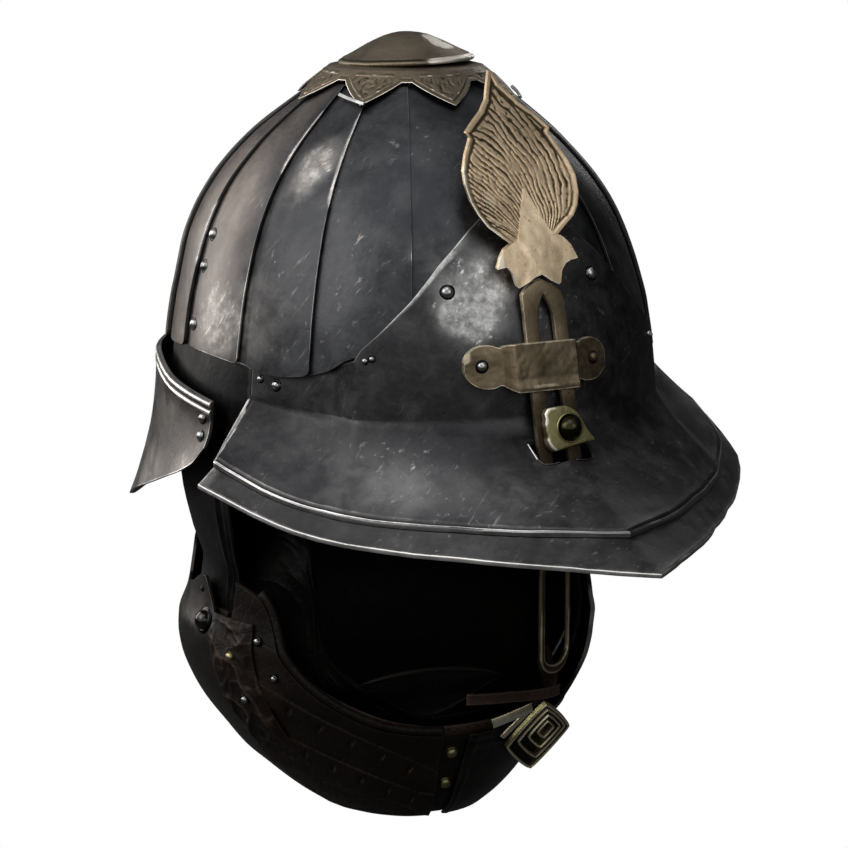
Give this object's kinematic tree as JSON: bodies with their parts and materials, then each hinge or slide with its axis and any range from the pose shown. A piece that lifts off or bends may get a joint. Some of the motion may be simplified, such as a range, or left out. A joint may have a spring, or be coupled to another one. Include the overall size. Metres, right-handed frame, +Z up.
{
  "type": "visored helmet",
  "caption": "Pointed steel helmet of overlapping lames with a flared peak, sliding brass nasal, neck guard, cheek plates and a riveted throat collar.",
  "frame": {"origin": "centre of the head opening at the height of the crease between brow and peak, on the wearer's mid plane", "axes": "-Y is the way the wearer looks, +X is the wearer's left, +Z is up"},
  "size_m": [0.2423, 0.3565, 0.3359],
  "materials": {
    "steel": "blackened, worn bright along its edges",
    "steel_dark": "blackened, matt",
    "steel_bright": "polished rivet head",
    "brass": "aged, engraved",
    "brass_dark": "dark patina",
    "leather": "black, waxed",
    "leather_brown": "dark brown, worn"
  },
  "bodies": {
    "helmet": {"brace_l": "brass", "brow_peak": "steel", "cheek_plate_l": "steel_dark", "cheek_plate_r": "steel_dark", "chin_cup": "leather", "chin_strap": "leather_brown", "clasp_rosette": "brass", "clasp_side": "leather_brown", "closure_plate": "steel_dark", "closure_strip": "leather", "closure_stud_1": "brass", "closure_stud_2": "brass", "collar_back": "steel", "collar_front": "leather_brown", "collar_lining": "leather_brown", "collar_rim": "leather", "collar_stud_l": "steel_bright", "collar_stud_r": "steel_bright", "crown_cap": "brass", "crown_rosette": "brass_dark", "face_lining": "leather", "lame_back": "steel", "lame_front": "steel", "lame_l1": "steel", "lame_l2": "steel", "lame_l3": "steel", "lame_l4": "steel", "lame_l5": "steel", "lame_l6": "steel", "lame_l7": "steel", "lame_r1": "steel", "lame_r2": "steel", "lame_r3": "steel", "lame_r4": "steel", "lame_r5": "steel", "lame_r6": "steel", "lame_r7": "steel", "nasal_bracket": "brass_dark", "nasal_stud": "brass_dark", "nasal_washer": "brass", "neck_guard": "steel", "neck_guard_tail": "steel_dark", "peak_border": "steel", "rivet_bracket_l": "steel_bright", "rivet_bracket_r": "steel_bright", "rivet_brow_l": "steel_bright", "rivet_brow_r": "steel_bright", "rivet_ear_l": "steel_bright", "rivet_ear_r": "steel_bright", "rivet_lame1_l": "steel_bright", "rivet_lame1_r": "steel_bright", "rivet_lame2_l": "steel_bright", "rivet_lame2_r": "steel_bright", "rivet_lame3_l": "steel_bright", "rivet_lame3_r": "steel_bright", "rivet_temple_l": "steel_bright", "rivet_temple_r": "steel_bright", "skull_band": "steel_dark"},
    "nasal": {"nasal_bar": "brass_dark", "nasal_leaf": "brass"}
  },
  "joints": [
    {"name": "nasal_slide", "type": "slide", "parent": "helmet", "child": "nasal", "axis": [0, 0.2361, 0.9717], "range_m": [-0.014, 0.04]}
  ]
}
